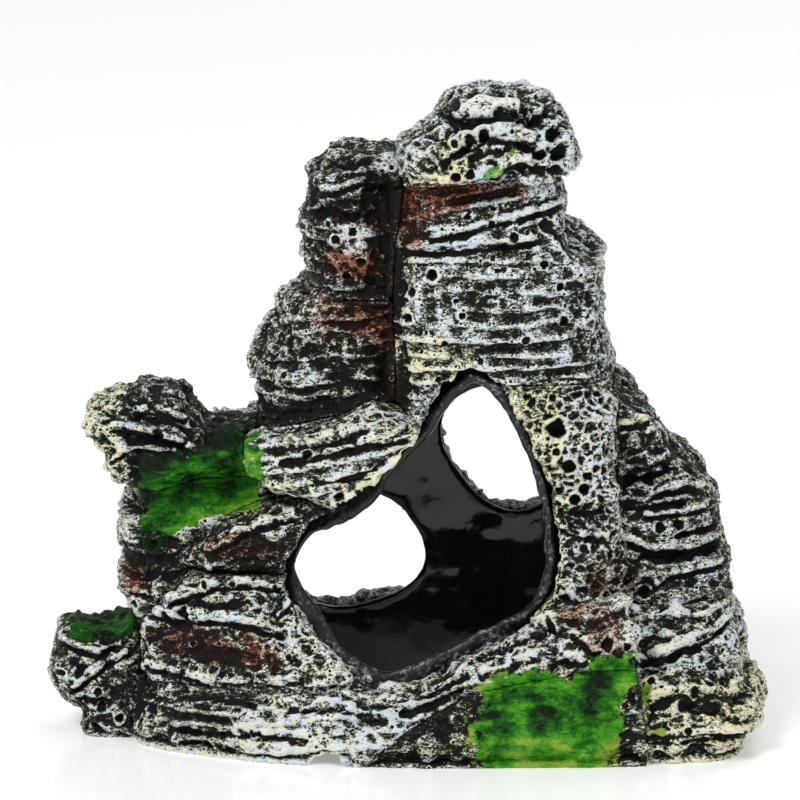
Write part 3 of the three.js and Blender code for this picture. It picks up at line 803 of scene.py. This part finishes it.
def wall_shape(p, n):
    hollow, light = left_moss(p)
    # shade: a band of painted shade below the moss hollow, sunk a little, its paint thinned and a
    # share of rust washed in
    shade = blob(p, (-36, -9, 28.5), (12, 12, 4.2), 0.2)
    gloss_bump = blob(p, (-39.3, -8.5, 31.2), (2.6, 6, 2.2), 0.05)
    edge = 1 - step(p[:, 0] + noise(p, 3, 77), -42.5, -40)
    notch = blob(p, (-45, -3, 38.5), (4.5, 16, 4.6), 0.15) * step(-n[:, 0], 0.1, 0.6)
    ledge, paint = ledges(p, n, WALL_LEDGES)
    pit_height, pit_paint = pits(p, 3.0, 75, 0.3, 0.7)
    paint += pit_paint * (1 - hollow)
    rough = 0.8 * strata(p, 0.08, 2.5, 73, 0.7, 0.5) + crackle(p, 2.3, 74, 0.5) + pit_height
    run = p @ MOSS_RUN
    streaks = 0.6 * noise(run, 2.6, 80) + 0.4 * noise(run, 1.3, 78) + 0.25 * noise(p, 0.8, 79)
    height = ledge + 0.8 * crag(p) * (1 - 0.6 * hollow)
    height = height + rough * (1 - 0.85 * hollow) + streaks * hollow
    height += -1.2 * hollow - 0.6 * shade + 1.4 * gloss_bump - 3.0 * notch
    light = light - 0.7 * gloss_bump
    rust = 0.7 * blob(p, (-43.5, -9, 25.6), (4, 9, 2.2), 0.5) + 0.25 * shade
    paint += -0.25 - 0.45 * shade + 0.12 * edge
    moss = 1.1 * np.maximum(hollow, gloss_bump)
    return height, marks(moss=moss, moss_light=light, rust=rust, warmth=0.45, brushed=paint)


def jamb_shape(p, n):
    face = blob(p, (-24, -15, 31.2), (9, 9, 3.6), 0.3)
    moss, light = left_moss(p)
    height, paint = (ledges(p, n, JAMB_LEDGES) + pits(p, 2.2, 85, 0.3, 0.45)
                     + holes(p, n, JAMB_PITS))
    rough = 0.8 * crag(p) + 0.6 * strata(p, 0.3, 2.2, 83, 0.5, 0.4)
    height += rough + crackle(p, 1.9, 84, 0.4) - 0.5 * face
    paint += -0.3 - 0.45 * face
    return height, marks(rust=0.6 * face, warmth=0.45, brushed=paint, moss=moss, moss_light=light)


def step_shape(p, n):
    face = blob(p, (-31, -20, 16.6), (12.5, 12, 4.0), 0.3)
    bright = blob(p, (-23, -21, 17.2), (5, 9, 3), 0.4)
    net = blob(p, (-15.5, -21, 15), (5.5, 12, 8), 0.3)
    height, paint = (ledges(p, n, STEP_LEDGES) + pits(p, 2.2, 95, 0.4, 0.5)
                     + holes(p, n, STEP_PITS, 0.35))
    cells = crackle(p, 1.7, 94, 0.5, 1.3) * (1 - 0.6 * face)
    height += crag(p) + 0.5 * strata(p, 0.0, 2.4, 93, 0.6, 0.5) + cells - 0.4 * face
    paint += -0.12 - 0.5 * face + 0.25 * bright + 0.24 * net
    return height, marks(rust=0.7 * face + 0.4 * bright, warmth=0.4, brushed=paint)


rock("left_wall", wall_shape, rock_paint)
rock("left_jamb", jamb_shape, rock_paint, net_size=FINE_NET_SIZE)
rock("left_step", step_shape, rock_paint, net_size=FINE_NET_SIZE)

# ---- Left boulder ------------------------------------------------------------
# A dark boulder bonded to the left end, with white ridges across its face and moss on top.

BOULDER_LEDGES = [
    (0.7, 0.5, [(-54, 15.6), (-51, 14.8), (-48, 14.2), (-45.4, 15.6)]),
    (0.75, 0.7, [(-52, 8.4), (-49.6, 10.4), (-46.6, 12.6), (-43.6, 14.0)]),
    (0.9, -0.8, [(-50, 6.4), (-46.5, 5.8)]),
]
BOULDER_PITS = [(-48.0, 7.6, 0.7), (-47.6, 5.0, 0.9), (-44.7, 3.4, 0.9), (-53.4, 10.2, 0.6)]


def boulder_shape(p, n):
    level = p[:, 2] + 0.8 * noise(p, 3, 106) + 0.6 * noise(p, 1.2, 107)
    top = step(level + 1.6 * n[:, 2], 16.6, 17.8)
    outer = 1 - step(p[:, 0], -54, -50)
    height, paint = (ledges(p, n, BOULDER_LEDGES) + pits(p, 2.5, 105, 0.35, 0.6)
                     + holes(p, n, BOULDER_PITS, 0.35))
    height += 1.1 * crag(p) + crackle(p, 3.0, 104, 0.7, 1.2) + 1.4 * outer
    paint += -0.38 + 0.5 * blob(p, (-44.2, -9, 12.6), (1.6, 6, 1.8))
    light = 0.1 + 0.4 * noise(p, 3, 108)
    return height, marks(moss=top, moss_light=light, warmth=0.45, brushed=paint)


rock("left_boulder", boulder_shape, rock_paint, net_size=FINE_NET_SIZE)

# ---- Sill and apron ----------------------------------------------------------
# The long ledge sweeps under the mouth in flowing beds that climb to the right. The low apron
# before it has a face of moss paint, thick and glossy, which runs up onto the ledge.

SILL_LEDGES = [
    (1.0, 0.5, [(-20, 12.4), (-13, 12.0), (-6, 11.0), (-1, 12.0), (5, 13.4), (9, 14.9)]),
    (0.9, 0.6, [(11, 17.2), (15, 19.0), (19, 21.0), (21.8, 22.0), (25, 21.0), (28.4, 18.6)]),
    (0.9, 0.5, [(11.5, 14.6), (16, 16.4), (21, 17.6), (26.5, 17.2)]),
    (0.9, -0.7, [(-36, 9.0), (-30, 9.4), (-24, 8.4)]),
    (0.9, -0.7, [(-18, 8.2), (-10, 8.6), (-4, 7.4)]),
    (1.0, 0.5, [(-36, 4.6), (-30, 4.8), (-23, 5.4), (-16, 5.0)]),
    (1.0, -0.9, [(-1, 8.2), (4, 9.6), (8, 12.0)]),
]
SILL_PITS = [
    (-23.6, 4.6, 0.75), (-22.7, 4.6, 0.75), (21.7, 21.0, 0.9), (30.5, 18.7, 1.15),
    (33.4, 18.4, 0.7), (26.2, 18.0, 0.35), (15.6, 17.6, 0.6),
]


def mossed(p):
    """Where moss paint covers the front of the ledge and the apron, with an uneven left edge."""
    ragged = noise(p, 4, 128) + 0.7 * noise(p, 1.5, 129) + 0.5 * noise(p, 0.7, 136)
    left = step(p[:, 0] + 3.6 * ragged, 5.5, 15)
    right = 1 - step(p[:, 0] + 1.5 * ragged - 0.2 * (p[:, 2] - 8), 30.5, 34.5)
    roof = 10.2 + 0.25 * p[:, 0] - 2.4 * blob(p, (24, -24, 16.6), (4.5, 9, 4), 0.3)
    above = step(p[:, 2] + 1.1 * ragged - roof, -1.0, 1.4)
    return left * right * (1 - above)


def moss_tone(p):
    """Lighter at the moss's foot and left rim, darker in a few upright runs and in two patches to
    the right. The lighter foot is a painted highlight, and the darker patches are painted shadow.
    """
    runs = 0.7 * noise(p * (1, 1, 0.55), 3.2, 127) + 0.6 * noise(p, 1.3, 137)
    rim = 1 - step(p[:, 0] + 2 * noise(p, 3, 132), 10, 13)
    # foot: a painted highlight along the bottom of the moss
    foot = 1 - step(p[:, 2] + noise(p, 3, 133), 2.6, 5.0)
    roof = step(p[:, 2] - 0.25 * p[:, 0] + noise(p, 2.5, 134), 9.4, 10.6)
    roof = roof * (1 - step(p[:, 0], 20, 26))
    # shadow: painted shadow that darkens the moss towards its right end
    shadow = blob(p, (29, -26, 11), (2.6, 9, 6), 0.5) + 0.5 * blob(p, (17, -26, 9), (6, 9, 3), 0.6)
    return 0.82 + 0.6 * runs + 0.4 * rim + 0.25 * foot + 0.4 * roof - 0.45 * shadow


def tucked(p, n):
    """How far the upright faces draw in towards the foot, over its lowest 3 mm."""
    return 1.6 * (1 - step(p[:, 2], 0.3, 3.0)) * step(1 - np.abs(n[:, 2]), 0.3, 0.8)


def sill_shape(p, n):
    blue = blob(p, (-5, -26, 8), (11, 9, 4.5))
    inner = step(p[:, 1] - 0.1 * p[:, 0], -20.5, -18.5) * step(n[:, 2], -0.3, 0.2)
    stony = step(p[:, 0], 9, 13) * step(p[:, 2], 14, 17)
    moss = mossed(p)
    rust = 0.6 * blob(p, (29, -23, 19.5), (6, 9, 5), 0.6) * stony
    end = 1 - step(p[:, 0] + 2 * noise(p, 4, 116) - 0.3 * p[:, 2], -44.5, -41.5)
    right = step(p[:, 0], -4, 4)
    dip = 0.05 + 0.25 * step(p[:, 0], -2, 8)
    height, paint = (ledges(p, n, SILL_LEDGES) + pits(p, 2.2, 115, 0.4, 0.5)
                     + holes(p, n, SILL_PITS, 0.35))
    rough = strata(p, dip, 2.3, 113, 0.7, 0.4, 0.9) + crackle(p, 1.8, 114, 0.45, 1.8)
    height = (height + rough) * (1 - 0.85 * moss) + crag(p) * (1 - 0.5 * moss)
    height = height - 1.2 * end - tucked(p, n)
    paint = (paint + 0.4 + 0.14 * blue - 0.46 * right) * (1 - inner)
    paint = paint - 0.32 * inner - 0.5 * end - 0.3 * np.clip(rust, 0, 1)
    warmth = 0.42 - 0.42 * blue
    light = moss_tone(p)
    return height, marks(warmth=warmth, brushed=paint, rust=rust, moss=moss, moss_light=light)


def apron_shape(p, n):
    moss = mossed(p)
    height, paint = pits(p, 2.2, 125, 0.45, 0.5) * (1 - 0.85 * moss)
    rough = crackle(p, 2.0, 124, 0.5, 1.6) + strata(p, 0.08, 2.6, 123, 0.5, 0.3)
    height += rough * (1 - 0.85 * moss)
    height += crag(p) * (1 - 0.6 * moss) - tucked(p, n)
    height += (0.5 * noise(p * (1, 1, 0.6), 2.2, 126) + 0.3 * noise(p, 0.9, 135)) * moss
    warmth = 0.6 + 0.4 * blob(p, (7, -27, 6), (6, 9, 6), 0.7)
    light = moss_tone(p)
    return height, marks(moss=moss, moss_light=light, warmth=warmth, brushed=paint - 0.46)


rock("front_sill", sill_shape, rock_paint)
rock("front_apron", apron_shape, rock_paint)

# ---- Right side: pillar, shoulder and base -----------------------------------
# A pale, honeycombed pillar stands right of the mouth. Behind it the shoulder steps down in dark
# hollows between white ridges, on a base of thick beds with cream edges.

PILLAR_PITS = [
    (24.6, 44.8, 1.3), (27.0, 41.2, 1.2), (25.6, 39.8, 1.1), (22.7, 47.2, 0.8),
    (22.7, 50.8, 1.8),
]
PILLAR_LEDGES = [
    (0.8, 0.5, [(23.5, 36.0), (26.5, 34.6), (30.5, 34.2)]),
    (0.8, 0.5, [(23.4, 25.4), (27.0, 24.4), (31.0, 23.0)]),
    (0.8, 0.4, [(23.6, 48.8), (22.4, 45.4), (23.0, 42.0)]),
    (0.9, -0.6, [(25, 37.6), (29.5, 37.8)]),
]
SHOULDER_LEDGES = [
    (0.7, 0.7, [(32.5, 38.8), (36, 38.9), (39.6, 40.4), (43, 41.0), (46.5, 40.0)]),
    (0.7, 0.6, [(34, 43.6), (37.4, 44.3), (41, 45.6), (44, 46.3), (48.5, 42.8)]),
    (1.7, -2.2, [(33.6, 41.4), (37, 41.8), (40, 43.2)]),
    (1.2, -1.8, [(44, 43.0), (46.8, 41.2)]),
    (0.8, -1.2, [(33, 37.2), (38, 37.3), (42, 37.7)]),
    (0.6, 0.6, [(36.5, 36.4), (41, 36.8), (46, 37.4), (49.6, 38.2)]),
    (1.0, -1.5, [(41.6, 32.8), (44, 33.3), (47, 33.4)]),
    (0.8, 0.7, [(30, 34.0), (33, 33.4), (36.8, 31.6), (40.5, 31.4), (46, 32.0), (50.4, 31.6)]),
    (1.1, -1.5, [(36, 29.8), (42, 29.9), (48.6, 30.6)]),
    (0.6, 0.5, [(35, 25.0), (37.4, 25.2), (40.4, 27.4), (45, 28.2), (52, 28.4)]),
    (0.7, 0.5, [(33, 50.2), (36.6, 50.4)]),
]
SHOULDER_PITS = [(38.8, 34.3, 1.05), (41.5, 34.8, 1.0), (36.4, 24.4, 1.0)]
BASE_PITS = [(43, 5.3, 0.9), (49.2, 17.8, 0.5), (37.2, 12.2, 0.8), (44, 10.8, 0.8)]
BASE_LEDGES = [
    (1.0, 0.9, [(35.2, 16.0), (40, 17.0), (45, 18.8), (49.6, 20.8), (54, 22.4)]),
    (1.0, 0.6, [(37.6, 10.4), (42, 11.4), (47, 11.2), (53, 10.4)]),
    (1.2, -1.2, [(42, 9.0), (47, 8.4)]),
    (0.8, 0.5, [(33, 5.6), (38.5, 5.2), (46, 5.7), (53, 5.0)]),
    (0.9, -0.8, [(33, 3.4), (40, 3.4), (50, 4.0)]),
    (0.7, 0.5, [(39, 23.4), (45, 24.2), (52, 25.0)]),
]


def pillar_shape(p, n):
    height, paint = (ledges(p, n, PILLAR_LEDGES) + pits(p, 1.9, 135, 0.5, 0.5)
                     + holes(p, n, PILLAR_PITS, 0.35))
    comb = crackle(p, 1.55, 134, 0.8, 1.0)
    dull = blob(p, (26.5, -17, 37.5), (5, 9, 2.4)) + blob(p, (30, -16, 29), (6, 9, 4))
    cream = 1 - step(p[:, 0] + noise(p, 2, 137), 22.6, 24.4)
    height += crag(p) + comb
    paint += -0.08 - 0.35 * np.clip(dull, 0, 1) + 0.2 * blob(p, (27.5, -16, 48), (5, 9, 7))
    rust = 0.5 * blob(p, (29, -17, 27.4), (4.5, 9, 4))
    return height, marks(warmth=0.4 + 0.5 * cream, brushed=paint, rust=rust)


def shoulder_shape(p, n):
    height, paint = ledges(p, n, SHOULDER_LEDGES)
    sunk = np.clip(-height / 1.2, 0, 1)
    pit_height, pit_paint = pits(p, 2.5, 145, 0.35, 0.55) + holes(p, n, SHOULDER_PITS)
    rough = 1.1 * crag(p) + crackle(p, 2.0, 144, 0.5, 2.0)
    rough += 0.4 * strata(p, 0.1, 2.4, 143, 0.6, 0.3)
    height += rough * (1 - 0.6 * sunk)
    height += pit_height
    cream = blob(p, (34.6, -9, 50.0), (3, 9, 1.8)) + blob(p, (48, -9, 42), (3, 9, 5))
    rust = 0.6 * blob(p, (31, -14, 26), (5, 9, 4))
    paint += pit_paint - 0.4 - 0.25 * sunk + 0.25 * np.clip(cream, 0, 1)
    return height, marks(warmth=0.35 + 0.5 * cream, brushed=paint, rust=rust)


def base_shape(p, n):
    height, paint = (ledges(p, n, BASE_LEDGES) + pits(p, 2.3, 155, 0.4, 0.55)
                     + holes(p, n, BASE_PITS))
    low = 1 - step(p[:, 2], 10, 15)
    height += crag(p) + 0.6 * strata(p, 0.12, 2.6, 153, 0.7, 0.5) + crackle(p, 1.9, 154, 0.5, 1.8)
    height += 1.2 * blob(p, (55, -12, 7), (4, 16, 5), 0.2) - tucked(p, n)
    fleck = blob(p, (36.5, -26, 5.2), (4, 9, 0.9), 0.8)
    fleck += 0.7 * blob(p, (36, -25, 10.4), (1.6, 9, 1.8), 0.8)
    warmth = 0.35 + 0.5 * low
    return height, marks(warmth=warmth, brushed=paint - 0.02, moss=0.8 * fleck, moss_light=1.4)


rock("right_pillar", pillar_shape, rock_paint, net_size=FINE_NET_SIZE)
rock("right_shoulder", shoulder_shape, rock_paint)
rock("right_base", base_shape, rock_paint)

# ---- Rear wall ---------------------------------------------------------------
# Five castings close the back round the two windows, in the same bedded rock and paint.


def rear_shape(p, n):
    moss = blob(p, (-20, 22, 8), (16, 12, 8), 0.5) + blob(p, (26, 22, 24), (9, 12, 7), 0.5)
    rust = blob(p, (8, 20, 24), (16, 12, 5), 0.5)
    saddle = blob(p, (-25, 8, 50), (6, 14, 6), 0.2) * step(n[:, 2], 0.2, 0.7)
    height, paint = pits(p, 2.5, 165, 0.4, 0.6)
    height += crag(p) + strata(p, 0.06, 2.5, 163, 0.75, 0.45) + crackle(p, 2.2, 164, 0.5)
    height = height * (1 - 0.5 * np.clip(moss, 0, 1)) - 2.4 * saddle
    return height, marks(warmth=0.35, rust=0.8 * rust, moss=0.9 * moss, brushed=paint - 0.08)


for node in ("rear_bridge", "rear_left", "rear_pier", "rear_right", "rear_sill"):
    rock(node, rear_shape, rock_paint)

# ---- Cave skin ---------------------------------------------------------------
# The inside of the cave is smooth black resin, as it left the mould, with a high gloss and gentle
# waves. Its lip shows round the mouth, rough and scuffed grey by the brush.

SKIN_NET_SIZE = 0.45
SKIN_EASING = 8
LIP_FRONT = (12.3, 14.0)
GLOSS_BLACK = (0.006, 0.006, 0.0065)
SCUFF_GREY = (0.21, 0.23, 0.23)
GLOSS_IOR = 1.45


def cave_gloss():
    """Glossy black resin. Where the lip is rough, grey paint is caught on its grain."""
    r = Recipe("cave_gloss")
    at = r.place()
    grain = r.noise(at, 0.7, 5, 0.75)
    blotches = r.swing(r.noise(at, 4.0, 2), 0.5, 1.0)
    scuff = r.total(r.mark("brushed"), r.swing(grain, 0.5, 2.6), blotches)
    colour = r.over(r.rise(scuff, 0.62, 0.95), GLOSS_BLACK, SCUFF_GREY)
    r.put(r.shader.inputs["Base Color"], colour)
    smears = r.rise(r.noise(at, 9.0, 2), 0.3, 0.8, 0.08, 0.2)
    r.put(r.shader.inputs["Roughness"], r.total(smears, r.times(r.mark("brushed"), 0.5)))
    r.shader.inputs["IOR"].default_value = GLOSS_IOR
    r.bump(r.total(r.noise(at, 3.0, 2), r.times(grain, r.mark("brushed"))), 0.25, 0.4)
    return r.material


skin_net = skin.modifiers.new("net", "REMESH")
skin_net.mode = "VOXEL"
skin_net.voxel_size = SKIN_NET_SIZE
points, edges, corners = settled(skin)
quads = corners.reshape(-1, 4)
points = eased(points, edges, SKIN_EASING)
normals = outward(points, quads)
lip = step(-points[:, 1], *LIP_FRONT)
thick = blob(points, (-12, -14, 40), (10, 8, 7), 0.1) * step(normals @ (0.6, 0, -0.8), 0.2, 0.6)
height = 0.4 * noise(points, 8, 171) + 0.15 * noise(points, 3, 174) + 1.5 * thick
height += lip * (0.25 * noise(points, 2.2, 172) + 0.12 * noise(points, 0.9, 173))
points = points + height[:, None] * normals
scuffed = {"brushed": 0.55 * lip}
written("cave_skin", points, quads, scuffed, cave_gloss(), "cave_liner")
bpy.data.objects.remove(skin)
